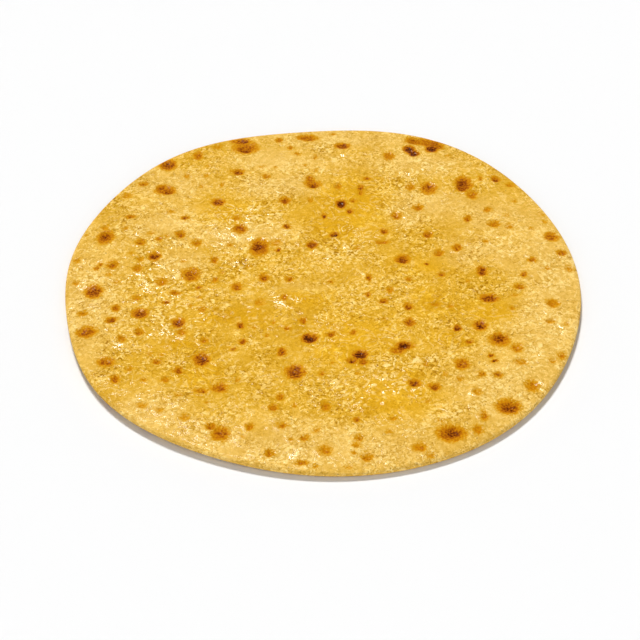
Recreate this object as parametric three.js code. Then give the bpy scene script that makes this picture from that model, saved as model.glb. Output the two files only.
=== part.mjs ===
// A butter naan: one thin, round bread, browned in spots and resting on its flat underside.
// Millimetres, +Z up. The origin is under the middle of the bread, on the surface that it lies on.
import * as THREE from "three";
import { mergeVertices } from "three/addons/utils/BufferGeometryUtils.js";

// Size of the bread
const MEAN_RADIUS = 119.8;
const MIDDLE_THICKNESS = 4.4;
const EDGE_THICKNESS = 3.0;
const EDGE_THINNING_WIDTH = 24; // the strip inside the edge over which the bread grows thinner
const EDGE_ROUNDING = 1.9; // how far the rounded edge reaches in from the outline

// The hand-rolled outline: how the radius swells on evenly spaced sides, the first one at an angle in degrees
const OUTLINE_SWELLS = [
  { sides: 2, height: 2.7, first: 87 },
  { sides: 3, height: 1.0, first: 56 },
  { sides: 4, height: 1.4, first: 48 },
  { sides: 5, height: 0.8, first: 67.5 },
  { sides: 6, height: 0.5, first: 0.5 },
  { sides: 7, height: 0.5, first: 15 },
  { sides: 8, height: 0.2, first: 35 },
];

// The edge rises off the surface in a few places, and the middle stays flat on it
const FLAT_SHARE = 0.74; // of the radius
const EDGE_LIFTS = [
  { height: 1.5, at: 222, spread: 34 },
  { height: 0.9, at: 118, spread: 26 },
  { height: 0.8, at: 338, spread: 30 },
];

// Long, low waves of the upper crust, which puffed unevenly as it baked
const CRUST_WAVES = [
  { length: 92, height: 0.26, heading: 24, start: 0.7 },
  { length: 61, height: 0.2, heading: 107, start: 2.1 },
  { length: 38, height: 0.13, heading: 68, start: 4.4 },
  { length: 29, height: 0.1, heading: 151, start: 1.2 },
];

// The browned dips that are large enough to feel, from the far side to the near side
const DIP_DEPTH_SHARE = 0.075; // of how far across a dip is
const BROWNED_DIPS = [
  { x: -7, y: 112.5, across: 8 },
  { x: -38, y: 105.5, across: 13 },
  { x: 54, y: 104.5, across: 8 },
  { x: 43.5, y: 102, across: 8 },
  { x: -75, y: 89.5, across: 9 },
  { x: -4.5, y: 74.5, across: 8 },
  { x: 67.5, y: 73.5, across: 10 },
  { x: 51, y: 70.5, across: 8 },
  { x: -75, y: 69.5, across: 8 },
  { x: -49.5, y: 59.5, across: 6 },
  { x: 9, y: 57, across: 6 },
  { x: 106.5, y: 33.5, across: 8 },
  { x: -100.5, y: 32.5, across: 9 },
  { x: -29, y: 25, across: 10 },
  { x: 36.5, y: 15.5, across: 7 },
  { x: -59.5, y: 5, across: 9 },
  { x: -102.5, y: -6.5, across: 9 },
  { x: 74.5, y: -11.5, across: 7 },
  { x: -80.5, y: -23, across: 7 },
  { x: 69.5, y: -30, across: 6 },
  { x: -103, y: -34.5, across: 8 },
  { x: -5.5, y: -38.5, across: 7 },
  { x: 77, y: -40, across: 9 },
  { x: 35.5, y: -45, across: 8 },
  { x: 15.5, y: -51.5, across: 9 },
  { x: -52, y: -53, across: 8 },
  { x: -11.5, y: -61, across: 9 },
  { x: 78, y: -82, across: 10 },
  { x: 53, y: -98, across: 11 },
  { x: -43, y: -98.5, across: 9 },
];

// How finely the surface is divided
const CELLS_ACROSS = 46;
const CELLS_OVER_EDGE = 4;
const OUTLINE_STEPS = 720;

const CRUST = new THREE.MeshStandardMaterial({ color: 0xe5b345, roughness: 0.42, metalness: 0 });

const { abs, cos, hypot, max, PI, sign, sin } = Math;
const { degToRad, euclideanModulo, lerp, radToDeg, smoothstep } = THREE.MathUtils;
const MERGE_DISTANCE = 1e-4; // vertices closer than this are one vertex

/** The distance from the hub of the swells to the outline, at an angle in radians. */
function outlineRadius(angle) {
  return OUTLINE_SWELLS.reduce(
    (radius, { sides, height, first }) => radius + height * cos(sides * (angle - degToRad(first))),
    MEAN_RADIUS,
  );
}

/** The middle of the outline's box, seen from the hub of the swells. */
function outlineMiddle() {
  const box = new THREE.Box2();
  for (let step = 0; step < OUTLINE_STEPS; step++) {
    const angle = (2 * PI * step) / OUTLINE_STEPS;
    box.expandByPoint(new THREE.Vector2(cos(angle), sin(angle)).multiplyScalar(outlineRadius(angle)));
  }
  return box.getCenter(new THREE.Vector2());
}
const MIDDLE = outlineMiddle();

/** The angle at which a point of a square lies once the square is drawn into a circle. */
function angleFromSquare(u, v) {
  if (abs(u) >= abs(v)) return u === 0 ? 0 : (PI / 4) * (v / u) + (u < 0 ? PI : 0);
  return PI / 2 - (PI / 4) * (u / v) + (v < 0 ? PI : 0);
}

/** How high the underside is off the surface. share runs from 0 at the hub to 1 at the outline. */
function undersideHeight(share, angle) {
  const nearEdge = smoothstep(share, FLAT_SHARE, 1);
  return EDGE_LIFTS.reduce((sum, { height, at, spread }) => {
    const away = abs(euclideanModulo(radToDeg(angle) - at + 180, 360) - 180);
    return sum + height * nearEdge * (1 - smoothstep(away, 0, 2 * spread));
  }, 0);
}

/** How thick the dough is at a share of the radius, before its waves and dips. */
function doughThickness(share) {
  const inward = (1 - share) * MEAN_RADIUS;
  return lerp(EDGE_THICKNESS, MIDDLE_THICKNESS, smoothstep(inward, 0, EDGE_THINNING_WIDTH));
}

/** The relief of the upper crust at a point: its long waves, less its browned dips. */
function crustRelief(x, y) {
  const waves = CRUST_WAVES.reduce((sum, { length, height, heading, start }) => {
    const along = x * cos(degToRad(heading)) + y * sin(degToRad(heading));
    return sum + height * sin((2 * PI * along) / length + start);
  }, 0);
  return BROWNED_DIPS.reduce((sum, dip) => {
    const away = hypot(x - dip.x, y - dip.y) / (dip.across / 2);
    return sum - DIP_DEPTH_SHARE * dip.across * (1 - smoothstep(away, 0.25, 1.35));
  }, waves);
}

/** Moves a point of the two-unit box to its place on the bread. The box's sides become the rounded edge. */
function placeOnBread(point) {
  const { x: u, y: v, z: level } = point;
  const reach = max(abs(u), abs(v));
  const onSide = reach > 1 - MERGE_DISTANCE;
  const turn = (PI / 2) * (onSide ? level : sign(level)); // from -90 degrees under the edge to 90 over it
  const angle = angleFromSquare(u, v);
  const outline = outlineRadius(angle);
  const radius = reach * (outline - EDGE_ROUNDING) + (onSide ? EDGE_ROUNDING * cos(turn) : 0);
  const x = radius * cos(angle) - MIDDLE.x;
  const y = radius * sin(angle) - MIDDLE.y;

  const share = radius / outline;
  const underside = undersideHeight(share, angle);
  const relief = crustRelief(x, y) * smoothstep(outline - radius, 0, 2 * EDGE_ROUNDING);
  const thickness = doughThickness(share) + relief;
  return point.set(x, y, underside + (thickness * (1 + sin(turn))) / 2);
}

/** The bread's closed surface, from a box whose grid is drawn into a round. */
function breadGeometry() {
  const box = new THREE.BoxGeometry(2, 2, 2, CELLS_ACROSS, CELLS_ACROSS, CELLS_OVER_EDGE);
  box.deleteAttribute("normal");
  box.deleteAttribute("uv");
  const geometry = mergeVertices(box, MERGE_DISTANCE);
  const places = geometry.getAttribute("position");
  const point = new THREE.Vector3();
  for (let i = 0; i < places.count; i++) {
    placeOnBread(point.fromBufferAttribute(places, i));
    places.setXYZ(i, point.x, point.y, point.z);
  }
  geometry.computeVertexNormals();
  return geometry;
}

const naan = new THREE.Mesh(breadGeometry(), CRUST);
naan.name = "naan";

const bread = new THREE.Group();
bread.add(naan);

export default bread;
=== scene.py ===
"""A butter naan: one thin, round bread with a hand-rolled outline, browned dips and a buttered golden crust.

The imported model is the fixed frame. One closed mesh stands for its plain solid: it has the same outline, thickness,
waves and dips, and adds the pits, blisters and lumps that the solid leaves out. How far each place is baked, how much
butter it holds and how floury it is are kept as attributes of the mesh, and the finish reads them.
Sizes are in millimetres, with +X to the right, +Y away from the camera and +Z up. They become metres in the mesh.
"""

from __future__ import annotations

import logging
import math
from dataclasses import dataclass
from enum import Enum
from functools import partial
from typing import Any

import bmesh
import bpy
import numpy as np
from mathutils import Matrix, Vector, noise

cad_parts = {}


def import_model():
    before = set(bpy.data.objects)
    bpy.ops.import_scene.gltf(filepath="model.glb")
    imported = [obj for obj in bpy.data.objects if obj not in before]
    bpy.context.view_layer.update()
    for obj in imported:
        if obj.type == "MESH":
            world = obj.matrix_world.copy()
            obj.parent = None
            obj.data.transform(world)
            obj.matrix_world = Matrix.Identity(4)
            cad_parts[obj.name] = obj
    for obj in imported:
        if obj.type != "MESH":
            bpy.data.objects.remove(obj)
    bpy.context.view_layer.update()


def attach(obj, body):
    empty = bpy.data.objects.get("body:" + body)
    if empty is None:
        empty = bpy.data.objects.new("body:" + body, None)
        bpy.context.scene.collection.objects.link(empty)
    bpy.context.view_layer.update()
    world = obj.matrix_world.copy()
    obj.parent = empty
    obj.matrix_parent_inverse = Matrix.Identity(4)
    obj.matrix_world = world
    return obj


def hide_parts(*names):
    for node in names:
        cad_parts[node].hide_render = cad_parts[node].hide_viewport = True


Ovals = tuple[tuple[float, float, float, float], ...]  # places on the bread: x, y, width and depth
Shifts = tuple[tuple[float, float, float, float], ...]  # how far, the size of the lumps, and the layers for x and y
Stops = tuple[tuple[float, str], ...]  # a colour ramp's stops: a place and an sRGB colour

LOG = logging.getLogger("naan")
MM = 0.001  # one millimetre in metres


def smoothstep(value: np.ndarray, low: float, high: float) -> np.ndarray:
    """Runs from 0 at low to 1 at high, level at both ends."""
    share = np.clip((value - low) / (high - low), 0.0, 1.0)
    return share * share * (3.0 - 2.0 * share)


def lumps(x: np.ndarray, y: np.ndarray, size: float, layer: float) -> np.ndarray:
    """Smooth noise over the bread, from about -1 to 1.

    Args:
        x: Places to the right, in millimetres.
        y: Places away from the camera, in millimetres.
        size: How far across one lump is, in millimetres.
        layer: Which of the many patterns is taken.

    Returns:
        One number for each place.
    """
    return np.array([noise.noise((east / size, north / size, layer)) for east, north in zip(x, y)])


def shifted(x: np.ndarray, y: np.ndarray, shifts: Shifts) -> tuple[np.ndarray, np.ndarray]:
    """Moves places a little by smooth noise, so that the ovals drawn over them are ragged.

    Args:
        x: Places to the right, in millimetres.
        y: Places away from the camera, in millimetres.
        shifts: How far each noise moves them, its size, and its layers for x and for y.

    Returns:
        Where the places have moved.
    """
    east = x + sum(far * lumps(x, y, size, layer) for far, size, layer, _ in shifts)
    north = y + sum(far * lumps(x, y, size, layer) for far, size, _, layer in shifts)
    return east, north


def linear_colour(code: str) -> tuple[float, float, float, float]:
    """Turns an sRGB colour to a linear one.

    Args:
        code: The colour, such as "#E5B242".

    Returns:
        Linear red, green, blue and alpha.
    """
    parts = [int(code[start : start + 2], 16) / 255 for start in (1, 3, 5)]
    red, green, blue = (part / 12.92 if part <= 0.04045 else ((part + 0.055) / 1.055) ** 2.4 for part in parts)
    return red, green, blue, 1.0


def add_node(
    tree: bpy.types.NodeTree,
    kind: str,
    inputs: dict[str | int, Any] | None = None,
    stops: Stops = (),
    **settings: Any,
) -> bpy.types.Node:
    """Adds a node to a material or world, with its settings and links.

    Args:
        tree: The tree that takes the node.
        kind: The node's type, such as "ShaderNodeMath".
        inputs: For each input, by name or number, its value, or the socket or node that feeds it. A node feeds it
            from its first output in use.
        stops: A colour ramp's stops.
        settings: The node's own properties.

    Returns:
        The new node.
    """
    node = tree.nodes.new(kind)
    for name, value in settings.items():
        setattr(node, name, value)
    for place, (at, tone) in enumerate(stops):
        stop = node.color_ramp.elements[place] if place < 2 else node.color_ramp.elements.new(at)
        stop.position, stop.color = at, linear_colour(tone)
    for name, value in (inputs or {}).items():
        if isinstance(value, bpy.types.Node):
            value = next(output for output in value.outputs if output.enabled)
        if isinstance(value, bpy.types.NodeSocket):
            tree.links.new(value, node.inputs[name])
        else:
            node.inputs[name].default_value = linear_colour(value) if isinstance(value, str) else value
    return node


def emptied_tree(owner: bpy.types.Material | bpy.types.World) -> bpy.types.NodeTree:
    """Gives a material or world a tree without nodes.

    Args:
        owner: The material or world.

    Returns:
        Its tree.
    """
    owner.use_nodes = True
    owner.node_tree.nodes.clear()
    return owner.node_tree


def put_in_scene(name: str, data: bpy.types.ID) -> bpy.types.Object:
    """Puts a mesh, light or camera in the scene.

    Args:
        name: The object's name.
        data: The mesh, light or camera.

    Returns:
        The object.
    """
    put = bpy.data.objects.new(name, data)
    bpy.context.scene.collection.objects.link(put)
    return put


class Bake(Enum):
    """How far the griddle has baked a spot. The value is the browning in its middle, from 0 to 1."""

    CHARRED = 0.84
    DARK = 0.55
    BROWN = 0.42
    TOASTED = 0.3
    FAINT = 0.2


@dataclass(frozen=True)
class Patch:
    """An oval place on the bread."""

    x: float
    y: float
    wide: float
    deep: float

    def away(self, x: np.ndarray, y: np.ndarray) -> np.ndarray:
        """How far places are from the middle: 0 there, and 1 at the oval's edge."""
        return np.hypot((x - self.x) / (self.wide / 2), (y - self.y) / (self.deep / 2))

    @property
    def across(self) -> float:
        """The mean width."""
        return math.sqrt(self.wide * self.deep)


# Each table of ovals runs from the far side to the near side

# Where the griddle touched the puffed dough. A ragged spot has two or three ovals
BAKED_SPOTS: dict[Bake, Ovals] = {
    Bake.CHARRED: (
        (53.8, 104.3, 5.5, 6), (42.6, 103.1, 5, 6.5), (44.8, 99.6, 4.5, 5.5), (8.8, 57, 4.5, 6), (5.6, 34, 3.5, 3),
        (-20.4, 22.6, 1.4, 1.8), (47.5, 12.3, 1, 1), (58.8, -32.7, 2.5, 3), (-5.9, -38.7, 6.5, 5.5),
        (35.3, -44.7, 4, 3), (16.1, -50.2, 6, 5.5), (72.6, -51, 1, 1), (74, -54.2, 1.3, 1.3),
    ),
    Bake.DARK: (
        (-40.2, 108.8, 9, 4), (9.8, 105.8, 7, 5), (-37.7, 101.8, 6, 4), (-75.2, 89.8, 8, 8), (-41, 82.8, 5, 4),
        (21.6, 78.3, 2.5, 2), (83.3, 78.1, 4, 4.5), (67.3, 74.8, 5, 7), (-77.5, 71.8, 3, 3), (-4.5, 71.8, 4, 3.5),
        (66.5, 70.3, 5.5, 5.5), (18.3, 70.3, 2.5, 3), (-73.7, 67.6, 5, 3), (-17.7, 59.8, 4.5, 4.5),
        (-49.7, 59.3, 6, 5), (12.8, 51.3, 2.5, 2.5), (-90.2, 47.8, 3, 2), (0.8, 47.8, 1.5, 3), (34.5, 47.6, 2, 2),
        (-64.7, 46.8, 2.5, 2), (-16.7, 39.3, 2.5, 3), (28.6, 36.8, 3, 3), (-100.7, 33.3, 4, 5), (-29.7, 26.3, 6, 7),
        (-4.9, 26.3, 4.5, 5), (-77, 17.8, 5, 5.5), (36.6, 15.3, 5, 5), (-101.2, 12.3, 1.2, 1.2), (72.3, 7.3, 4.5, 6),
        (91.3, 5, 2, 2.5), (-55.7, -4.7, 1.5, 1.5), (-102.7, -7.2, 8, 9), (74.3, -11.7, 7.5, 5.5),
        (27, -14.7, 3, 2.5), (-69.7, -15.2, 3, 2), (38.3, -17.7, 3.5, 4), (-80.7, -23.2, 7, 6.5),
        (-93.2, -27.7, 4, 3), (-63.7, -29.7, 5, 6), (69.1, -30.2, 5.5, 6.5), (-36.2, -30.5, 2.5, 3.5),
        (76.8, -38.7, 5, 4), (-35, -41.5, 2.5, 2.5), (35.3, -44.7, 7, 5), (-38.7, -46.2, 1.2, 1.2),
        (-17.7, -48.2, 3, 4.5), (-52.2, -53.2, 7, 8), (13, -54.2, 4.5, 3.5), (-61.7, -60.7, 3.5, 3.5),
        (-11.7, -61.2, 8, 9), (38.8, -68.7, 4.5, 4.5), (47.3, -71.2, 4, 3.5), (78.3, -82.2, 6, 6),
        (54.3, -97.5, 7, 5),
    ),
    Bake.BROWN: (
        (-7.2, 112.3, 10, 5.5), (44.3, 111.8, 5, 4), (-21.4, 109.6, 3, 3), (54.3, 108.8, 9, 6), (57.8, 106.3, 3, 5),
        (-37.7, 103.3, 12, 10), (-15.7, 102.9, 2, 2), (-60.7, 96.8, 4, 6), (-27, 79.3, 2.5, 2.5), (-6.2, 77.8, 3, 4),
        (76, 77.3, 1.5, 3), (-86.2, 74.3, 3.5, 3), (-4.7, 73.3, 7, 6), (67.8, 73.3, 8, 11), (50.8, 70.3, 7, 8.5),
        (-75.2, 69.3, 9, 7), (68.1, 46.3, 2.5, 4), (-38.7, 38.3, 6, 6), (48.8, 34.3, 3.5, 4), (-66.2, 34.3, 3.5, 4),
        (106.3, 33.3, 6, 6.5), (-100.7, 32.3, 7.5, 9.5), (-75.7, 30.8, 1.5, 2), (-84.2, 27.8, 3.5, 3.5),
        (-29.2, 24.8, 8, 12), (62.1, 24.3, 3.5, 4), (109.8, 20.6, 4, 3.5), (36.6, 15.3, 6, 6.5),
        (95.8, 14.8, 2.5, 2.5), (-95.7, 11.3, 4.5, 4.5), (-102.7, 9.6, 2, 2.5), (-59.7, 4.8, 8, 9),
        (53.8, 4.6, 2.5, 2.5), (-26.7, 2.3, 4, 5), (20.9, 1.8, 2, 4), (-15.2, 1.3, 3, 3.5), (38.8, 1.3, 1.8, 1.8),
        (-38.7, -4.2, 4, 4.5), (88.3, -4.2, 4, 3), (-66.2, -8.7, 3.5, 2.5), (20.3, -10.2, 1.8, 2.5),
        (-17.4, -11.7, 2.2, 3.5), (-91.7, -19.5, 3.5, 4), (-8.7, -27.2, 2.5, 3.5), (38, -28.7, 4.5, 5.5),
        (-15.7, -32.2, 2, 2), (-103.2, -34.7, 8, 7), (13.3, -35.5, 2.2, 2.2), (3.5, -36.5, 3.5, 3.5),
        (77, -40, 8.5, 8.5), (63.6, -42.2, 2.5, 2.5), (32.3, -47.7, 5, 4), (17.3, -54.7, 3, 3),
        (-93.2, -55, 6.5, 5.5), (-71.2, -55.2, 3, 2.5), (59.8, -56.2, 5.5, 6), (74.6, -62.7, 2.5, 2),
        (67.8, -62.7, 2, 2), (-88.4, -66.2, 3.5, 4), (-43.7, -71.5, 6, 5.5), (-51.2, -73.7, 5, 2.5),
        (-18, -77.2, 2.5, 3.5), (77.8, -82.2, 10, 9), (-20.5, -83.7, 3, 3), (14.5, -90.7, 2.5, 2.5),
        (-46.7, -95.7, 3.5, 3), (52.8, -98.2, 12, 9), (-42.2, -99.2, 7, 7),
    ),
    Bake.TOASTED: (
        (49, 110.5, 16, 6), (-12.2, 98.3, 2.5, 1.6), (32.3, 97.3, 5, 7), (90.3, 73.8, 4, 3), (7.3, 71.3, 3, 5),
        (41.8, 71.3, 4.5, 5), (18.3, 66.3, 2.5, 4), (71.3, 64.8, 5, 6), (14.8, 59.8, 2.5, 2.5), (45, 55.3, 4.5, 4.5),
        (78, 53.3, 3, 3), (34.8, 48.8, 5, 5), (-40.2, 46.3, 3, 3), (80.3, 42.3, 5, 5), (27.3, 28.6, 6, 2.5),
        (-58.2, 28.3, 4, 5), (53.3, 20.8, 4, 4.5), (-49.2, 15.8, 3, 4.5), (-84.2, 8.8, 4.5, 4.5),
        (-48.7, 0.8, 2.5, 3), (-72.7, -0.5, 5, 5), (3.6, -1, 1.8, 1.8), (30.3, -6.7, 3, 4), (-83.2, -12.5, 4, 3),
        (102.3, -15.4, 5.5, 5.5), (-53.7, -20.2, 2.5, 3), (-106.2, -22.4, 4.5, 3), (-61.7, -35.7, 4, 5),
        (-80.2, -35.7, 3.5, 4), (-87.7, -40.2, 3.5, 3.5), (-51.7, -41.2, 3, 3), (84.3, -45.7, 5, 5),
        (103.3, -50.2, 3, 4), (-0.5, -62.7, 2, 2.5), (-67.2, -66.5, 3, 3), (88.8, -68.7, 6, 7),
        (1.1, -82.7, 3.5, 4.5), (67.3, -88.2, 3.5, 4.5), (-16.7, -94.7, 3.5, 3), (-30.4, -95.5, 3, 3.5),
        (64.3, -96, 4, 4.5), (-7.7, -101.7, 3, 3), (14.8, -101.7, 3.5, 3), (13.8, -105.7, 2, 1.5),
        (39.6, -106.5, 5, 4.5), (1.1, -108.5, 5, 5), (-21.7, -110.2, 3.5, 3.5), (18, -111.7, 4, 4.5),
        (-8.7, -115.2, 4.5, 2.5),
    ),
    Bake.FAINT: (
        (5.3, 116.3, 3, 2), (-51.7, 104.8, 4, 4), (61.3, 97.8, 1.5, 1.5), (-3.7, 95.8, 2.5, 3),
        (-8.4, 88.8, 1.5, 1.5), (-55.2, 88.3, 1.5, 1.5), (-29.2, 87.6, 2.5, 1.5), (-23, 86.8, 1.5, 1.5),
        (-3.5, 85.3, 2, 1.5), (-65.2, 80.3, 2.5, 3.5), (-56.2, 79.8, 2, 2), (29, 78.3, 1.5, 1.5), (-48.2, 73.3, 2, 3),
        (-58.2, 72.3, 2.5, 2.5), (-93.7, 65.3, 5.5, 5), (91.3, 60.8, 2, 2), (-5.7, 59.8, 3, 4), (-71.7, 51.8, 3, 2.5),
        (103.3, 51.3, 2, 2), (86.8, 48.8, 2, 2), (104.3, 45.3, 2, 2), (-101.7, 40.3, 4, 4), (87.3, 40.3, 4, 4),
        (-92.2, 39.3, 3, 3), (97.3, 39.3, 2, 2), (-79.7, 35.3, 2, 2), (-110.2, 34.3, 1.5, 1.5), (-72.2, 33.3, 2, 2),
        (75.3, 28.8, 2.5, 2.5), (-21.7, 28.3, 6, 5), (-43.2, 26.8, 2.5, 2), (16.3, 23.8, 2.5, 3),
        (-88.2, 19.6, 1.5, 1.5), (-112.7, 16.3, 3.5, 5), (-83.2, 15.8, 3, 4), (-41.7, 15.3, 1.5, 1.5),
        (-63.7, 14.3, 2.5, 2.5), (-33.7, 11.3, 2, 2), (112.3, 9.8, 4, 4), (102.3, 9.3, 2.5, 2.5),
        (-45.7, 6.3, 1.5, 1.5), (-96.7, 4.3, 2, 2), (-111.2, -0.2, 3, 3), (-93.2, -0.2, 2, 2), (65.8, -0.2, 2, 2),
        (85.8, -9.7, 3, 2), (-55.7, -11.2, 1.5, 1.5), (-28.2, -14.7, 5, 5), (50.3, -15.7, 4, 3), (56.8, -16.7, 3, 3),
        (-58.7, -17.7, 2, 2), (84.3, -18.7, 2.5, 2.5), (-41.2, -23.2, 1.5, 2), (27.3, -26.2, 3, 2),
        (100.3, -27.7, 4, 3), (-21.7, -28.7, 2, 2), (107.3, -29.7, 2, 2), (-30.2, -31.7, 1.5, 1.5),
        (-24.2, -36.7, 2, 2), (-74.7, -49.7, 2, 2), (-69.7, -50.7, 2, 2), (98.8, -53.7, 3, 3), (85.3, -54.7, 6, 3.5),
        (4.3, -55.7, 1.5, 1.5), (44.3, -56.7, 2.5, 3), (-82.7, -59.7, 3, 3), (14.3, -62.7, 1.5, 1.5),
        (52.3, -62.7, 2, 2), (58.3, -65.7, 3, 3), (-36.2, -66.2, 2.5, 2.5), (-76.2, -66.7, 2.5, 2.5),
        (65.3, -73.2, 3.5, 5), (-60.7, -76.2, 3, 2), (43.8, -79.7, 2, 2), (-48.7, -81.2, 1.5, 1.5),
        (-12.2, -82.2, 2, 2), (-75.7, -82.7, 4, 3), (-68.2, -85.2, 3, 2.5), (29, -89.7, 3, 2.5),
        (-57.5, -90.2, 4, 3.5), (49.3, -91.2, 3, 1), (-2.7, -96.7, 2.5, 3), (27.3, -97.7, 2, 2),
        (-33.2, -100.7, 2, 2), (-13.2, -102.2, 2, 2), (12.8, -109.7, 2, 2), (43.8, -110.7, 3, 3),
        (-3.2, -117.2, 2, 2), (10.3, -117.7, 3.5, 1.5),
    ),
}

# Where the melted butter soaked in and left the crust a deeper yellow
BUTTER_POOLS: Ovals = (
    (10, 60, 24, 24), (14.3, 57.3, 34, 44), (-44.7, 52.3, 26, 18), (8.3, 41.3, 40, 24), (45.3, 9.3, 24, 18),
    (-7.7, -12.7, 26, 14), (48, -14, 24, 20), (70.3, -18.7, 26, 18), (-39.7, -25.7, 44, 14), (14, -38, 44, 30),
    (55.3, -40.7, 20, 12), (-59.7, -45.7, 30, 14), (10, -52, 26, 18), (-51.7, -65.7, 22, 16), (36.3, -66.7, 18, 12),
    (27.3, -78.7, 40, 24),
)

# Where the butter still lies wet on the crust and glints
WET_STREAKS: Ovals = (
    (5, 101, 20, 18), (37, 98, 24, 20), (52, 88, 24, 18), (0, 84, 26, 10), (47, 78, 24, 22), (34, 54, 18, 18),
    (45, 46, 20, 22), (-36, 44, 34, 42), (-88, 36, 20, 14), (87, 30, 34, 20), (8, 26, 36, 34), (-73, 25, 26, 14),
    (-66, 15, 30, 18), (-36, 12, 16, 12), (106, 8, 20, 44), (-74, 5, 28, 20), (-106, 2, 10, 16), (-85, -5, 28, 18),
    (-16, -13, 18, 8), (-72, -22, 34, 38), (-64, -26, 18, 12), (-58, -32, 34, 22), (103, -34, 16, 40),
    (-95, -46, 18, 20), (94, -54, 26, 34), (35, -58, 28, 20), (80, -65, 30, 18), (22, -75, 34, 14), (-75, -76, 12, 8),
    (66, -80, 14, 10), (-12, -112, 24, 6),
)

# Where the crust stayed dry, floury and pale. The patch at (-10, -8) is a painted sheen where the butter glints
PALE_PATCHES: Ovals = (
    (8, 112, 110, 18), (-19.7, 92.3, 60, 20), (44, 92, 50, 24), (-74, 74, 40, 24), (-20, 72, 44, 20),
    (50.3, 57.3, 34, 24), (32, 50, 24, 20), (78, 50, 40, 30), (-74, 42, 40, 36), (-38, 34, 44, 20),
    (75.3, 22.3, 40, 24), (-64.7, 12.3, 26, 20), (114, 8, 16, 40), (104, 0, 36, 130), (-10, -8, 24, 16),
    (-106, -14, 36, 110), (100.3, -32.7, 34, 40), (84, -76, 64, 70), (-74, -88, 40, 30), (0.3, -108, 200, 34),
)

# How ragged and soft the edges of those patches are
PATCH_SHIFTS: Shifts = ((5, 11, 7.5, 9.5), (2, 4, 8.5, 10.5))
PATCH_EDGE = (0.1, 1.6)  # where one starts to fade and where it ends, in half widths from its middle


def coverage(patches: Ovals, x: np.ndarray, y: np.ndarray) -> np.ndarray:
    """Works out how far places lie within patches that have soft, ragged edges.

    Args:
        patches: The patches.
        x: Places to the right, in millimetres.
        y: Places away from the camera, in millimetres.

    Returns:
        For each place 0 outside every patch, rising to 1 in the middle of one.
    """
    east, north = shifted(x, y, PATCH_SHIFTS)
    bare = np.ones_like(x)
    for place in patches:
        bare *= smoothstep(Patch(*place).away(east, north), *PATCH_EDGE)
    return 1 - bare


@dataclass(frozen=True)
class Swell:
    """One share of the hand-rolled outline: the radius swells on evenly spaced sides, the first at an angle."""

    sides: int
    height: float
    first: float


@dataclass(frozen=True)
class Lift:
    """A place where the edge rises off the surface, at an angle in degrees."""

    height: float
    at: float
    spread: float


@dataclass(frozen=True)
class Wave:
    """A long, low wave of the upper crust."""

    length: float
    height: float
    heading: float
    start: float


@dataclass(frozen=True)
class Dough:
    """The rolled dough: the outline, thickness and waves that the solid has too."""

    mean_radius: float = 119.8
    middle_thickness: float = 4.4
    edge_thickness: float = 3.0
    edge_thinning_width: float = 24.0  # the strip inside the edge over which the bread grows thinner
    edge_rounding: float = 1.9  # how far the rounded edge reaches in from the outline
    flat_share: float = 0.74  # of the radius, over which the underside lies flat
    outline_steps: int = 720
    swells: tuple[Swell, ...] = (
        Swell(2, 2.7, 87), Swell(3, 1.0, 56), Swell(4, 1.4, 48), Swell(5, 0.8, 67.5), Swell(6, 0.5, 0.5),
        Swell(7, 0.5, 15), Swell(8, 0.2, 35),
    )
    lifts: tuple[Lift, ...] = (Lift(1.5, 222, 34), Lift(0.9, 118, 26), Lift(0.8, 338, 30))
    waves: tuple[Wave, ...] = (
        Wave(92, 0.26, 24, 0.7), Wave(61, 0.2, 107, 2.1), Wave(38, 0.13, 68, 4.4), Wave(29, 0.1, 151, 1.2),
    )

    def outline(self, angle: np.ndarray) -> np.ndarray:
        """The distance from the hub of the swells to the outline, at angles in radians."""
        swells = (s.height * np.cos(s.sides * (angle - math.radians(s.first))) for s in self.swells)
        return self.mean_radius + sum(swells)

    def middle(self) -> tuple[float, float]:
        """Finds the middle of the outline's box.

        Returns:
            Its x and y from the hub of the swells.
        """
        angle = np.linspace(0.0, 2 * math.pi, self.outline_steps, endpoint=False)
        x, y = self.outline(angle) * np.cos(angle), self.outline(angle) * np.sin(angle)
        return (x.min() + x.max()) / 2, (y.min() + y.max()) / 2

    def underside(self, share: np.ndarray, angle: np.ndarray) -> np.ndarray:
        """Works out how high the underside is, which is flat but for the lifts near the outline.

        Args:
            share: Shares of the radius, from 0 at the hub to 1 at the outline.
            angle: Angles round the hub, in radians.

        Returns:
            The heights.
        """
        height = np.zeros_like(share)
        for lift in self.lifts:
            away = np.abs((np.degrees(angle) - lift.at + 180) % 360 - 180)
            height += lift.height * (1 - smoothstep(away, 0, 2 * lift.spread))
        return height * smoothstep(share, self.flat_share, 1)

    def thickness(self, share: np.ndarray) -> np.ndarray:
        """How thick the dough is at shares of the radius, before its relief."""
        inner = smoothstep((1 - share) * self.mean_radius, 0, self.edge_thinning_width)
        return self.edge_thickness + (self.middle_thickness - self.edge_thickness) * inner

    def waves_at(self, x: np.ndarray, y: np.ndarray) -> np.ndarray:
        """Adds up the long waves.

        Args:
            x: Places to the right.
            y: Places away from the camera.

        Returns:
            The heights.
        """
        height = np.zeros_like(x)
        for wave in self.waves:
            heading = math.radians(wave.heading)
            along = x * math.cos(heading) + y * math.sin(heading)
            height += wave.height * np.sin(2 * math.pi * along / wave.length + wave.start)
        return height


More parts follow.
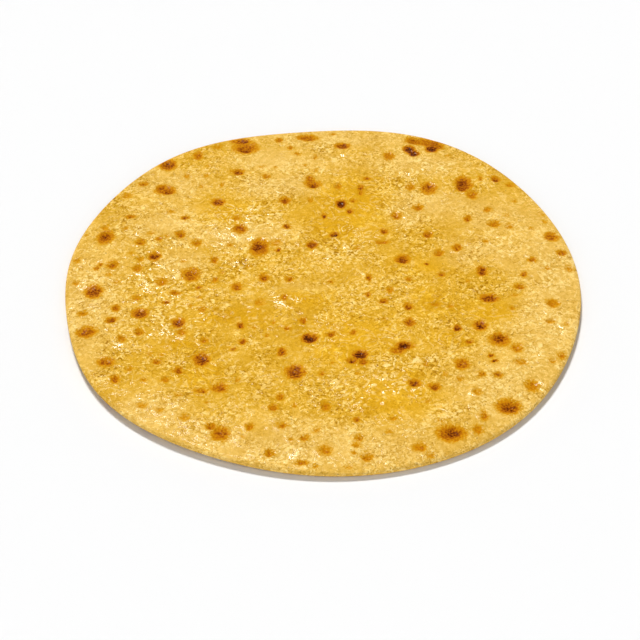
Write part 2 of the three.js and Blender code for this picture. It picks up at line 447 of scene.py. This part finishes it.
@dataclass(frozen=True)
class Crust:
    """What the griddle made of the dough's surface: browned spots, pits, blisters and lumps."""

    # The form of a browned spot. A small one is a pit with a lip round it, a large one a shallow dip
    small_pit: float = 3.0  # up to how far across a spot is a pit
    large_dip: float = 7.0  # from how far across it is a dip
    small_pit_depth: float = 0.24  # of how far across it is
    large_dip_depth: float = 0.09
    dip_slope: tuple[float, float] = (0.25, 1.35)  # where it begins and ends, in half widths of the spot
    lip_height: float = 0.4  # of the depth
    lip_place: float = 1.45  # in half widths
    lip_width: float = 0.35

    # Its browning
    core: float = 0.87  # how far out the browning falls to a third, in half widths
    bleed: float = 0.4  # how far it spreads beyond that, in millimetres
    falloff: float = 2.3  # how steeply it falls there
    flat_core: float = 1.2  # how much steeper it falls round a large spot, which is evenly brown inside
    hollow: float = 0.1  # how much paler the middle of a light spot is
    hollow_width: float = 0.45  # in half widths
    scorch: float = 0.17  # how far the halo round a spot is baked
    scorching: float = 0.4  # from what browning on a spot has the whole halo
    halo: float = 1.4  # how far that halo reaches past the spot, in millimetres
    merging: int = 4  # how sharply the darker of two spots wins where they overlap

    # The rest of the surface
    spot_shifts: Shifts = ((0.55, 3.2, 1.5, 3.5), (0.35, 1.5, 2.5, 4.5))
    swellings: tuple[tuple[float, float, float], ...] = (  # height, size and layer
        (0.14, 9, 0.5), (0.08, 4.2, 5.5), (0.03, 2.1, 6.5),
    )
    dimples: int = 420
    dimple_sizes: tuple[float, float] = (1.6, 4.2)
    dimple_depth: float = 0.075  # of how far across it is
    dimple_slope: tuple[float, float] = (0.2, 1.3)
    blisters: int = 90
    blister_sizes: tuple[float, float] = (2.0, 5.0)
    blister_height: float = 0.07  # of how far across it is
    blister_slope: tuple[float, float] = (0.3, 1.2)
    underside_spots: int = 150
    underside_sizes: tuple[float, float] = (2.0, 11.0)
    reach: float = 116.0  # how far from the middle these are drawn
    drawn_depths: tuple[float, float] = (0.75, 1.3)  # of how wide one is
    seed: int = 7

    def spots(self) -> list[tuple[Patch, float]]:
        """Each browned spot of the upper crust, with its browning."""
        return [(Patch(*place), bake.value) for bake, places in BAKED_SPOTS.items() for place in places]

    def scattered(self, count: int, sizes: tuple[float, float], draw_number: int) -> list[Patch]:
        """Draws round patches evenly over the bread.

        Args:
            count: How many.
            sizes: The smallest and the largest width. Small ones are more common.
            draw_number: Which draw.

        Returns:
            The patches, which may touch.
        """
        draw = np.random.default_rng(self.seed + draw_number)
        least, most = sizes
        patches = []
        for _ in range(count):
            turn, out = draw.uniform(0, 2 * math.pi), self.reach * math.sqrt(draw.uniform())
            wide = least + (most - least) * draw.uniform() ** 2
            deep = wide * draw.uniform(*self.drawn_depths)
            patches.append(Patch(out * math.cos(turn), out * math.sin(turn), wide, deep))
        return patches

    def largeness(self, patch: Patch) -> float:
        """0 for a spot no larger than a pit, rising to 1 for one as large as a dip."""
        return float(smoothstep(np.float64(patch.across), self.small_pit, self.large_dip))

    def dip(self, patch: Patch, x: np.ndarray, y: np.ndarray) -> np.ndarray:
        """Shapes one browned spot: a shallow dip where it is large, a pit with a lip where it is small.

        Args:
            patch: The spot.
            x: Places to the right.
            y: Places away from the camera.

        Returns:
            The heights.
        """
        away, large = patch.away(x, y), self.largeness(patch)
        depth = patch.across * (self.small_pit_depth + (self.large_dip_depth - self.small_pit_depth) * large)
        lip = self.lip_height * (1 - large) * np.exp(-(((away - self.lip_place) / self.lip_width) ** 2))
        return depth * (lip - (1 - smoothstep(away, *self.dip_slope)))

    def relief(self, x: np.ndarray, y: np.ndarray) -> np.ndarray:
        """Adds up the lumps, dips, pits, dimples and blisters of the upper crust.

        Args:
            x: Places to the right.
            y: Places away from the camera.

        Returns:
            The heights.
        """
        height = sum(tall * lumps(x, y, size, layer) for tall, size, layer in self.swellings)
        east, north = shifted(x, y, self.spot_shifts)
        for patch, _ in self.spots():
            height += self.dip(patch, east, north)
        for patch in self.scattered(self.dimples, self.dimple_sizes, 1):
            sunk = 1 - smoothstep(patch.away(east, north), *self.dimple_slope)
            height -= self.dimple_depth * patch.across * sunk
        for patch in self.scattered(self.blisters, self.blister_sizes, 2):
            risen = 1 - smoothstep(patch.away(east, north), *self.blister_slope)
            height += self.blister_height * patch.across * risen
        return height

    def browning(self, spots: list[tuple[Patch, float]], x: np.ndarray, y: np.ndarray) -> np.ndarray:
        """Works out how far the griddle baked each place. Spots that overlap run together and darken a little.

        Args:
            spots: The spots, each with the browning in its middle.
            x: Places to the right.
            y: Places away from the camera.

        Returns:
            The browning, from 0 to 1.
        """
        east, north = shifted(x, y, self.spot_shifts)
        baked = np.zeros_like(x)
        for patch, browning in spots:
            away = patch.away(east, north)
            falloff = self.falloff + self.flat_core * self.largeness(patch)
            core = browning * np.exp(-((away / (self.core + 2 * self.bleed / patch.across)) ** falloff))
            if browning <= Bake.BROWN.value:  # the lip round a blister bakes more than its hollow
                core *= 1 - self.hollow * np.exp(-((away / self.hollow_width) ** 2))
            beside = np.maximum(0.0, away - 1) * patch.across / 2
            halo = self.scorch * min(1.0, browning / self.scorching) * np.exp(-((beside / self.halo) ** 2))
            baked += core**self.merging + halo**self.merging
        return baked ** (1 / self.merging)

    def below(self) -> list[tuple[Patch, float]]:
        """Draws the browned spots of the underside, which lay on the griddle first.

        Returns:
            The spots, each with its browning.
        """
        draw = np.random.default_rng(self.seed)
        bakes = [bake.value for bake in Bake]
        patches = self.scattered(self.underside_spots, self.underside_sizes, 3)
        return [(patch, draw.choice(bakes)) for patch in patches]


@dataclass(frozen=True)
class Noise:
    """A noise pattern: the size of its lumps in millimetres, and how they are broken up."""

    name: str
    size: float
    detail: float
    roughness: float
    distortion: float


@dataclass(frozen=True)
class ButteredCrust:
    """Griddle-baked wheat dough brushed with melted butter.

    The dough is matt and finely wrinkled, like coarse paper, with creases between its grains and ridges over them.
    Its colour paints shade into the creases and light onto the ridges, over the relief of its bump. Where it stayed
    dry it is floury, and where the butter soaked in it is smoother and a deeper yellow. Where the butter still lies
    on it a thin film glints on its ripples, and cream lines along them are painted glints. The griddle's spots are
    evenly brown inside, and the pores of the crust make their edges granular.
    """

    # sRGB colours from the bottoms of the creases to the tops of the ridges, dark as painted shade and pale as
    # painted light, and from first gold to char
    crumb: Stops = (
        (0.0, "#A57104"), (0.12, "#BC860B"), (0.3, "#CD991D"), (0.5, "#DAA72E"), (0.7, "#E8B644"),
        (0.88, "#F6C962"), (1.0, "#FFDA7C"),
    )
    baking: Stops = (
        (0.0, "#D9A51C"), (0.16, "#D3950C"), (0.34, "#C37907"), (0.5, "#A65A07"), (0.72, "#7D3905"),
        (1.0, "#4A1C02"),
    )
    pale: str = "#EFD08C"  # flour
    soaking: str = "#FFF8A0"  # what butter multiplies the crumb by
    bran: str = "#8C5C0C"
    painted_glint: str = "#FFE08E"  # painted glints: the highlights on the butter's film, as a cream colour

    # Each noise lies round 0.5. Its size is the real one, but for the grain and the pores
    noises: tuple[Noise, ...] = (
        Noise("patches", 14.0, 4, 0.6, 0.0),  # where the dough puffed and dried
        Noise("zones", 22.0, 3, 0.55, 0.3),  # where it was rolled smoother or rougher
        Noise("grain", 1.7, 2.5, 0.6, 1.0),  # of wheat, really under 0.5 mm, drawn as coarse as it needs to show
        Noise("bran", 1.7, 1, 0.5, 0.0),  # flecks about 0.5 mm across, which are the peaks of this noise
        Noise("ripples", 2.6, 1, 0.5, 1.0),  # of the butter's film
        Noise("strokes", 7.0, 0.3, 0.5, 0.6),  # the film's ridges, 1 to 2 mm apart, the levels of this noise; painted glints follow them
        Noise("ruffles", 11.0, 2, 0.5, 0.5),  # where the film is ruffled
        Noise("pores", 0.9, 1, 0.5, 0.0),  # of the crust, really about 0.3 mm, drawn as coarse as they need to show
    )
    crease_spacing: float = 2.6
    ridge_spacing: float = 3.1
    crease_depth: float = 0.7
    ridge_height: float = 1.2

    # How far the crumb's tone, from 0 to 1, follows its wrinkles and grain as painted shade in the creases and
    # painted light on the ridges, and where that is weaker or stronger
    wrinkle_contrast: float = 0.46
    grain_contrast: float = 0.28
    soaked_contrast: float = 0.55  # where butter filled the wrinkles
    smooth_contrast: float = 0.42
    coarse_contrast: float = 1.25
    wet_contrast: float = 0.25  # as much more where the film is thick, painted light and shade that stand for its glints
    moist_tone: float = 0.335
    dry_tone: float = 0.655
    floury_tone: float = 0.13  # as much more on a pale patch

    # How far colours cover the crumb
    least_flour: float = 0.08
    most_flour: float = 0.27
    bran_cover: float = 0.55
    comb: float = 0.1  # how far apart the levels are that make the film's ridges and the painted glints
    least_greasy: float = 0.2  # how strong the painted glints are outside the wet streaks

    # How many times as brown the hollows are and the tops between them
    grain_heat: tuple[float, float] = (1.45, 0.7)
    pore_heat: tuple[float, float] = (1.4, 0.72)

    # Relief, in millimetres, and gloss. The film's gloss is a clear coat over the matt dough
    skin_bump: float = 0.55
    film_bump: float = 1.5
    wrinkle_relief: float = 0.16  # of the grain's
    ripple_relief: float = 0.12  # of the film ridges'
    film_coat: float = 0.34
    browned_coat: float = 0.08  # the film over a browned spot, which soaked it up
    char_coat: float = 0.2  # char shines by itself
    film_roughness: float = 0.1
    film_ior: float = 1.46  # melted butter
    crust_roughness: float = 0.6
    crust_ior: float = 1.45
    crust_specular: float = 0.02  # dry dough scatters nearly all that it reflects

    def maps(self, tree: bpy.types.NodeTree) -> dict[str, Any]:
        """Adds what the finish is made from, all in object coordinates.

        Args:
            tree: The material's tree.

        Returns:
            By name the place on the bread, the mesh's attributes and the noises.
        """
        place = add_node(tree, "ShaderNodeTexCoord").outputs["Object"]
        maps = {"place": place}
        for name in ("baked", "butter", "pale", "wet"):
            maps[name] = add_node(tree, "ShaderNodeAttribute", attribute_name=name).outputs["Fac"]
        for noise_map in self.noises:
            maps[noise_map.name] = add_node(
                tree, "ShaderNodeTexNoise",
                {
                    "Vector": place, "Scale": 1 / (noise_map.size * MM), "Detail": noise_map.detail,
                    "Roughness": noise_map.roughness, "Distortion": noise_map.distortion,
                },
            )
        return maps

    def winding_lines(self, tree: bpy.types.NodeTree, place: bpy.types.NodeSocket, size: float) -> bpy.types.Node:
        """Draws thin winding lines, as the skin of the dough wrinkles.

        Args:
            tree: The material's tree.
            place: Where the pattern lies.
            size: About how far apart the lines are, in millimetres.

        Returns:
            A node that gives 1 on a line and 0 beside it.
        """
        bends = add_node(
            tree, "ShaderNodeTexNoise",
            {"Vector": place, "Scale": 1 / (size * MM), "Detail": 2, "Roughness": 0.6, "Distortion": 0.7},
        )
        folded = add_node(tree, "ShaderNodeMath", {0: bends, 1: 0.5}, operation="PINGPONG")
        return add_node(tree, "ShaderNodeMapRange", {0: folded, 1: 0.43, 2: 0.5})

    def wrinkles(self, tree: bpy.types.NodeTree, maps: dict[str, Any]) -> bpy.types.Node:
        """Adds the wrinkles of the skin.

        Args:
            tree: The material's tree.
            maps: The attributes and noises.

        Returns:
            A node that gives less than 0 in the creases between the grains, and more on the ridges over them.
        """
        add = partial(add_node, tree)
        crease_lines = self.winding_lines(tree, maps["place"], self.crease_spacing)
        ridge_lines = self.winding_lines(tree, maps["place"], self.ridge_spacing)
        deep = add("ShaderNodeMapRange", {0: maps["grain"], 1: 0.4, 2: 0.55, 3: self.crease_depth, 4: 0.0})
        high = add("ShaderNodeMapRange", {0: maps["grain"], 1: 0.45, 2: 0.6, 4: self.ridge_height})
        creases = add("ShaderNodeMath", {0: crease_lines, 1: deep}, operation="MULTIPLY")
        ridges = add("ShaderNodeMath", {0: ridge_lines, 1: high}, operation="MULTIPLY")
        return add("ShaderNodeMath", {0: ridges, 1: creases}, operation="SUBTRACT")

    def tone(self, tree: bpy.types.NodeTree, maps: dict[str, Any], wrinkles: bpy.types.Node) -> bpy.types.Node:
        """Adds how light the crumb is: patches of tone, with painted shade in its creases and low grains and painted
        light on its ridges and raised grains.

        Args:
            tree: The material's tree.
            maps: The attributes and noises.
            wrinkles: The wrinkles of the skin.

        Returns:
            A node that gives 0 in the deepest crease and 1 on the palest ridge.
        """
        add = partial(add_node, tree)
        # Painted shade and light on the relief: darker where the grain and the wrinkles lie low, as the bump is, and
        # paler where they rise
        grain_shading = add(
            "ShaderNodeMapRange",
            {0: maps["grain"], 1: 0.25, 2: 0.75, 3: -self.grain_contrast, 4: self.grain_contrast},
        )
        relief_shading = add(
            "ShaderNodeMath", {0: wrinkles, 1: self.wrinkle_contrast, 2: grain_shading}, operation="MULTIPLY_ADD"
        )
        unsoaked = add("ShaderNodeMapRange", {0: maps["butter"], 3: 1.0, 4: self.soaked_contrast})
        coarse = add(
            "ShaderNodeMapRange",
            {0: maps["zones"], 1: 0.38, 2: 0.62, 3: self.smooth_contrast, 4: self.coarse_contrast},
        )
        contrast = add("ShaderNodeMath", {0: unsoaked, 1: coarse}, operation="MULTIPLY")
        # Where the film is wet the contrast rises, painted light and shade that stand for its glints
        contrast = add(
            "ShaderNodeMath", {0: maps["wet"], 1: self.wet_contrast, 2: contrast}, operation="MULTIPLY_ADD"
        )
        dried = add(
            "ShaderNodeMapRange", {0: maps["patches"], 1: 0.3, 2: 0.7, 3: self.moist_tone, 4: self.dry_tone}
        )
        floured = add(
            "ShaderNodeMath", {0: maps["pale"], 1: self.floury_tone, 2: dried}, operation="MULTIPLY_ADD"
        )
        return add("ShaderNodeMath", {0: relief_shading, 1: contrast, 2: floured}, operation="MULTIPLY_ADD")

    def crumb_colour(
        self, tree: bpy.types.NodeTree, maps: dict[str, Any], tone: bpy.types.Node, combed: bpy.types.Node
    ) -> bpy.types.Node:
        """Adds the colour of the crust between its spots: the crumb with its painted shade and light, its flour, its
        butter, its bran, and painted glints along the film's ridges.

        Args:
            tree: The material's tree.
            maps: The attributes and noises.
            tone: How light the crumb is.
            combed: The levels of the film's ridges, which the painted glints follow.

        Returns:
            A node that gives the colour.
        """
        add = partial(add_node, tree)
        colour = add("ShaderNodeValToRGB", {0: tone}, stops=self.crumb)
        raised = add("ShaderNodeMapRange", {0: tone, 1: 0.1, 2: 0.6, 3: self.least_flour, 4: self.most_flour})
        flour = add("ShaderNodeMath", {0: maps["pale"], 1: raised}, operation="MULTIPLY")
        flecks = add("ShaderNodeMapRange", {0: maps["bran"], 1: 0.72, 2: 0.76, 3: 0.0, 4: self.bran_cover})
        for share, tint, how in (
            (flour, self.pale, "MIX"), (maps["butter"], self.soaking, "MULTIPLY"), (flecks, self.bran, "MIX"),
        ):
            colour = add("ShaderNodeMix", {0: share, 6: colour, 7: tint}, data_type="RGBA", blend_type=how)
        # Painted glints: cream lines along the film's ridges, broken by the grain, gathered where the film is ruffled
        # and strongest where it is wet
        strokes = add("ShaderNodeMapRange", {0: combed, 1: 0.05, 2: 0.08})
        broken = add("ShaderNodeMapRange", {0: maps["grain"], 1: 0.42, 2: 0.54})
        gathered = add("ShaderNodeMapRange", {0: maps["ruffles"], 1: 0.38, 2: 0.5, 3: 0.1, 4: 0.95})
        greasy = add("ShaderNodeMapRange", {0: maps["wet"], 3: self.least_greasy, 4: 1.0})
        for where in (broken, gathered, greasy):
            strokes = add("ShaderNodeMath", {0: strokes, 1: where}, operation="MULTIPLY")
        return add("ShaderNodeMix", {0: strokes, 6: colour, 7: self.painted_glint}, data_type="RGBA")

    def heat(self, tree: bpy.types.NodeTree, maps: dict[str, Any]) -> bpy.types.Node:
        """Adds how far the griddle browned each grain.

        Args:
            tree: The material's tree.
            maps: The attributes and noises.

        Returns:
            A node that gives the browning: more in the crust's hollows and pores, and less on its grains.
        """
        add = partial(add_node, tree)
        uneven = add(
            "ShaderNodeMapRange", {0: maps["grain"], 1: 0.3, 2: 0.7, 3: self.grain_heat[0], 4: self.grain_heat[1]}
        )
        porous = add(
            "ShaderNodeMapRange", {0: maps["pores"], 1: 0.36, 2: 0.64, 3: self.pore_heat[0], 4: self.pore_heat[1]}
        )
        heat = add("ShaderNodeMath", {0: maps["baked"], 1: uneven}, operation="MULTIPLY")
        return add("ShaderNodeMath", {0: heat, 1: porous}, operation="MULTIPLY")

    def skin(self, tree: bpy.types.NodeTree, maps: dict[str, Any], wrinkles: bpy.types.Node) -> bpy.types.Node:
        """Adds the relief of the dough's own grain and wrinkles.

        Args:
            tree: The material's tree.
            maps: The attributes and noises.
            wrinkles: The wrinkles of the skin.

        Returns:
            A node that gives the normal.
        """
        add = partial(add_node, tree)
        height = add(
            "ShaderNodeMath", {0: wrinkles, 1: self.wrinkle_relief, 2: maps["grain"]}, operation="MULTIPLY_ADD"
        )
        rough = add("ShaderNodeMapRange", {0: maps["zones"], 1: 0.38, 2: 0.62, 3: 0.82, 4: 1.1})
        height = add("ShaderNodeMath", {0: height, 1: rough}, operation="MULTIPLY")
        return add("ShaderNodeBump", {"Height": height, "Distance": self.skin_bump * MM})

    def film(self, tree: bpy.types.NodeTree, maps: dict[str, Any], combed: bpy.types.Node) -> bpy.types.Node:
        """Adds the relief of the butter's smoother film, which is ruffled in places.

        Args:
            tree: The material's tree.
            maps: The attributes and noises.
            combed: The levels of the film's ridges.

        Returns:
            A node that gives the normal.
        """
        add = partial(add_node, tree)
        height = add(
            "ShaderNodeMath", {0: maps["ripples"], 1: self.ripple_relief, 2: combed}, operation="MULTIPLY_ADD"
        )
        ruffled = add("ShaderNodeMapRange", {0: maps["ruffles"], 1: 0.42, 2: 0.58, 3: 0.2, 4: 1.0})
        height = add("ShaderNodeMath", {0: height, 1: ruffled}, operation="MULTIPLY")
        return add("ShaderNodeBump", {"Height": height, "Distance": self.film_bump * MM})

    def gloss(self, tree: bpy.types.NodeTree, maps: dict[str, Any], cover: bpy.types.Node) -> bpy.types.Node:
        """Adds how glossy each place is, by its film of butter or by its char.

        Args:
            tree: The material's tree.
            maps: The attributes and noises.
            cover: How far the browning covers the crumb.

        Returns:
            A node that gives the weight of the clear coat.
        """
        add = partial(add_node, tree)
        glazed = add("ShaderNodeMapRange", {0: cover, 3: self.film_coat, 4: self.browned_coat})
        buttered = add("ShaderNodeMath", {0: maps["wet"], 1: glazed}, operation="MULTIPLY")
        charred = add(
            "ShaderNodeMapRange",
            {0: maps["baked"], 1: 0.62, 2: Bake.CHARRED.value, 3: 0.0, 4: self.char_coat},
        )
        return add("ShaderNodeMath", {0: buttered, 1: charred}, operation="MAXIMUM")

    def material(self) -> bpy.types.Material:
        """Makes the finish, with the browning over the crumb and the film over the skin.

        Returns:
            The material.
        """
        crust = bpy.data.materials.new("buttered_wheat_crust")
        tree = emptied_tree(crust)
        add = partial(add_node, tree)
        maps = self.maps(tree)
        combed = add("ShaderNodeMath", {0: maps["strokes"], 1: self.comb}, operation="PINGPONG")
        wrinkles = self.wrinkles(tree, maps)
        tone = self.tone(tree, maps, wrinkles)
        heat = self.heat(tree, maps)
        cover = add("ShaderNodeMapRange", {0: heat, 1: 0.01, 2: 0.2}, interpolation_type="SMOOTHSTEP")
        browned = add("ShaderNodeValToRGB", {0: heat}, stops=self.baking)
        crumb = self.crumb_colour(tree, maps, tone, combed)
        colour = add("ShaderNodeMix", {0: cover, 6: crumb, 7: browned}, data_type="RGBA")
        shader = add(
            "ShaderNodeBsdfPrincipled",
            {
                "Base Color": colour, "Roughness": self.crust_roughness, "IOR": self.crust_ior,
                "Specular IOR Level": self.crust_specular, "Normal": self.skin(tree, maps, wrinkles),
                "Coat Weight": self.gloss(tree, maps, cover), "Coat Roughness": self.film_roughness,
                "Coat IOR": self.film_ior, "Coat Normal": self.film(tree, maps, combed),
            },
        )
        add("ShaderNodeOutputMaterial", {"Surface": shader})
        return crust


@dataclass(frozen=True)
class Naan:
    """The bread: a box of fine squares drawn into a round, with its relief, attributes and finish."""

    dough: Dough = Dough()
    crust: Crust = Crust()
    finish: ButteredCrust = ButteredCrust()
    upper_cells: int = 264  # across the upper face, about 0.9 mm each. The lower face has half as many
    edge_steps: int = 5
    least_wet: float = 0.2  # how far the thin film of butter all over glints, against a streak's

    @property
    def near(self) -> float:
        """How close two corners of the two-unit box lie that are one: a twentieth of a cell."""
        return 0.1 / self.upper_cells

    def shell(self) -> bmesh.types.BMesh:
        """Makes a closed two-unit box: a fine upper face, sides in steps, and a lower face half as fine.

        Returns:
            The box, round the origin.
        """
        cells, shell = self.upper_cells, bmesh.new()
        bmesh.ops.create_grid(
            shell, x_segments=cells, y_segments=cells, size=1.0, matrix=Matrix.Translation((0, 0, 1))
        )
        rim = [edge for edge in shell.edges if edge.is_boundary]
        for _ in range(self.edge_steps):
            made = bmesh.ops.extrude_edge_only(shell, edges=rim)["geom"]
            corners = [part for part in made if isinstance(part, bmesh.types.BMVert)]
            bmesh.ops.translate(shell, verts=corners, vec=(0, 0, -2 / self.edge_steps))
            rim = [part for part in made if isinstance(part, bmesh.types.BMEdge) and part.is_boundary]

        # Every second corner of the lowest ring joins the next, to meet the lower face's larger squares
        ring = {self.cell_corner(corner): corner for edge in rim for corner in edge.verts}
        joined = {}
        for (column, row), corner in ring.items():
            if (column + row) % 2:
                beside = (column + 1, row) if row in (0, cells) else (column, row + 1)
                joined[corner] = ring[beside]
        bmesh.ops.weld_verts(shell, targetmap=joined)
        bmesh.ops.create_grid(
            shell, x_segments=cells // 2, y_segments=cells // 2, size=1.0, matrix=Matrix.Translation((0, 0, -1))
        )
        bmesh.ops.remove_doubles(shell, verts=shell.verts, dist=self.near)
        bmesh.ops.recalc_face_normals(shell, faces=shell.faces)
        return shell

    def cell_corner(self, corner: bmesh.types.BMVert) -> tuple[int, int]:
        """The column and row of the upper face's grid that a corner lies on."""
        return round((corner.co.x + 1) * self.upper_cells / 2), round((corner.co.y + 1) * self.upper_cells / 2)

    @staticmethod
    def angle_from_square(u: np.ndarray, v: np.ndarray) -> np.ndarray:
        """Finds where round a circle the points of a square lie once the square is drawn into it.

        Args:
            u: Places to the right, from -1 to 1.
            v: Places away from the camera, from -1 to 1.

        Returns:
            The angles, in radians.
        """
        safe_u, safe_v = np.where(u == 0, 1, u), np.where(v == 0, 1, v)
        sideways = math.pi / 4 * v / safe_u + np.where(u < 0, math.pi, 0)
        upright = math.pi / 2 - math.pi / 4 * u / safe_v + np.where(v < 0, math.pi, 0)
        return np.where(np.abs(u) >= np.abs(v), np.where(u == 0, 0, sideways), upright)

    def attributes(self, x: np.ndarray, y: np.ndarray, over: np.ndarray) -> dict[str, np.ndarray]:
        """Works out what the finish reads at each corner.

        Args:
            x: Places to the right, in millimetres.
            y: Places away from the camera.
            over: 1 on the upper crust and 0 on the underside.

        Returns:
            By name how far it is baked, how buttery, how pale and how wet it is, each from 0 to 1.
        """
        butter = coverage(BUTTER_POOLS, x, y) * over
        return {
            "baked": self.crust.browning(self.crust.spots(), x, y) * over
            + self.crust.browning(self.crust.below(), x, y) * (1 - over),
            "butter": butter,
            "pale": coverage(PALE_PATCHES, x, y) * (1 - butter),
            "wet": np.maximum(coverage(WET_STREAKS, x, y), self.least_wet) * over,
        }

    def build(self) -> bpy.types.Object:
        """Makes the bread's mesh, dresses it and gives it its finish.

        Returns:
            The bread, in metres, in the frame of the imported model.
        """
        mesh = bpy.data.meshes.new("buttered_bread")
        shell = self.shell()
        shell.to_mesh(mesh)
        shell.free()
        mesh.shade_smooth()
        corners = np.empty(len(mesh.vertices) * 3)
        mesh.vertices.foreach_get("co", corners)
        u, v, level = corners.reshape(-1, 3).T

        # The sides of the box turn round the edge, from -90 degrees under it to 90 over it
        reach = np.maximum(np.abs(u), np.abs(v))
        on_side = reach > 1 - self.near
        turn = math.pi / 2 * np.where(on_side, level, np.sign(level))
        angle = self.angle_from_square(u, v)
        outline, rounding = self.dough.outline(angle), self.dough.edge_rounding
        radius = reach * (outline - rounding) + np.where(on_side, rounding * np.cos(turn), 0)
        middle_x, middle_y = self.dough.middle()
        x, y = radius * np.cos(angle) - middle_x, radius * np.sin(angle) - middle_y

        share = radius / outline
        upper = (1 + np.sin(turn)) / 2
        relief = self.dough.waves_at(x, y) + self.crust.relief(x, y)
        relief *= smoothstep(outline - radius, 0, 2 * rounding)
        z = self.dough.underside(share, angle) + (self.dough.thickness(share) + relief) * upper
        mesh.vertices.foreach_set("co", (np.column_stack((x, y, z)) * MM).ravel())

        # The looks of the two faces meet half way down the edge
        for name, values in self.attributes(x, y, smoothstep(upper, 0.25, 0.75)).items():
            mesh.attributes.new(name, "FLOAT", "POINT").data.foreach_set("value", values.astype(np.float32))
        mesh.materials.append(self.finish.material())
        mesh.update()
        return put_in_scene("buttered_bread", mesh)


@dataclass(frozen=True)
class Softbox:
    """A round softbox, so far off that it lights the floor evenly.

    Its strength is that of a sun lamp, and towards points from the bread to where it hangs.
    """

    name: str
    towards: tuple[float, float, float]
    degrees_wide: float
    strength: float

    def build(self) -> None:
        """Adds the light, turned to the bread."""
        lamp = bpy.data.lights.new(self.name, "SUN")
        lamp.angle, lamp.energy = math.radians(self.degrees_wide), self.strength
        stand = put_in_scene(self.name, lamp)
        stand.location = self.towards
        stand.rotation_euler = (-Vector(self.towards)).to_track_quat("-Z", "Y").to_euler()


@dataclass(frozen=True)
class Studio:
    """The pale floor, the soft light and the camera at the photograph's angle."""

    floor_size: float = 6.0  # metres
    floor_drop: float = 0.3  # mm under the bread, so that the two never share a plane
    floor_tone: str = "#ECECEC"
    air_tone: str = "#FFFFFF"
    backdrop_strength: float = 0.98  # the pale walls, up to backdrop_top
    ceiling_strength: float = 0.05
    backdrop_top: float = 0.15  # how steeply up, as the sine of the angle
    lights: tuple[Softbox, ...] = (
        Softbox("back_left_softbox", (-0.45, 1.6, 2.5), 13.0, 2.88),
        Softbox("front_left_softbox", (-2.0, -2.2, 2.1), 50.0, 0.87),
        Softbox("front_right_softbox", (2.0, -2.2, 2.1), 50.0, 0.87),
    )
    elevation: float = 40.5  # degrees above the floor
    distance: float = 850.0
    aim: tuple[float, float, float] = (-1.2, -26.9, 4.2)
    focal_pixels: float = 1928.4
    picture_pixels: float = 640.0
    sensor_width: float = 36.0

    def build(self) -> None:
        """Adds the floor, the light and the camera."""
        self.add_floor()
        self.add_air()
        for light in self.lights:
            light.build()
        self.add_camera()
        bpy.context.scene.view_settings.view_transform = "Standard"

    def add_floor(self) -> None:
        """Lays a plain pale floor just under the bread."""
        sheet = bmesh.new()
        bmesh.ops.create_grid(
            sheet, x_segments=1, y_segments=1, size=self.floor_size / 2,
            matrix=Matrix.Translation((0, 0, -self.floor_drop * MM)),
        )
        mesh = bpy.data.meshes.new("floor")
        sheet.to_mesh(mesh)
        sheet.free()
        paint = bpy.data.materials.new("matt_pale_floor")
        tree = emptied_tree(paint)
        shader = add_node(tree, "ShaderNodeBsdfDiffuse", {"Color": self.floor_tone})
        add_node(tree, "ShaderNodeOutputMaterial", {"Surface": shader})
        mesh.materials.append(paint)
        floor = put_in_scene("floor", mesh)

    def add_air(self) -> None:
        """Lights the room from pale walls under a dim ceiling, which the film of butter mirrors as a deep tone."""
        world = bpy.data.worlds.new("studio_air")
        tree = emptied_tree(world)
        towards = add_node(tree, "ShaderNodeTexCoord").outputs["Generated"]
        upward = add_node(tree, "ShaderNodeSeparateXYZ", {"Vector": towards}).outputs["Z"]
        strength = add_node(
            tree, "ShaderNodeMapRange",
            {
                0: upward, 1: self.backdrop_top, 2: 2 * self.backdrop_top, 3: self.backdrop_strength,
                4: self.ceiling_strength,
            },
        )
        light = add_node(tree, "ShaderNodeBackground", {"Color": self.air_tone, "Strength": strength})
        add_node(tree, "ShaderNodeOutputWorld", {"Surface": light})
        bpy.context.scene.world = world

    def add_camera(self) -> None:
        """Sets the camera in front of the bread, looking along +Y and down."""
        lens = bpy.data.cameras.new("camera")
        lens.sensor_width = self.sensor_width
        lens.lens = self.focal_pixels / self.picture_pixels * self.sensor_width
        camera = put_in_scene("camera", lens)
        tilt = math.radians(self.elevation)
        forward = Vector((0, math.cos(tilt), -math.sin(tilt)))
        camera.location = (Vector(self.aim) - forward * self.distance) * MM
        camera.rotation_euler = forward.to_track_quat("-Z", "Y").to_euler()
        bpy.context.scene.camera = camera


def main() -> None:
    """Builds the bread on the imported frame, then the studio round it."""
    logging.basicConfig(level=logging.INFO, format="%(name)s: %(message)s")
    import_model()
    bread = Naan().build()
    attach(bread, "root")
    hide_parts("naan")
    triangles = sum(len(face.vertices) - 2 for face in bread.data.polygons)
    LOG.info("%s: %d triangles", bread.name, triangles)
    Studio().build()


if __name__ == "__main__":
    main()
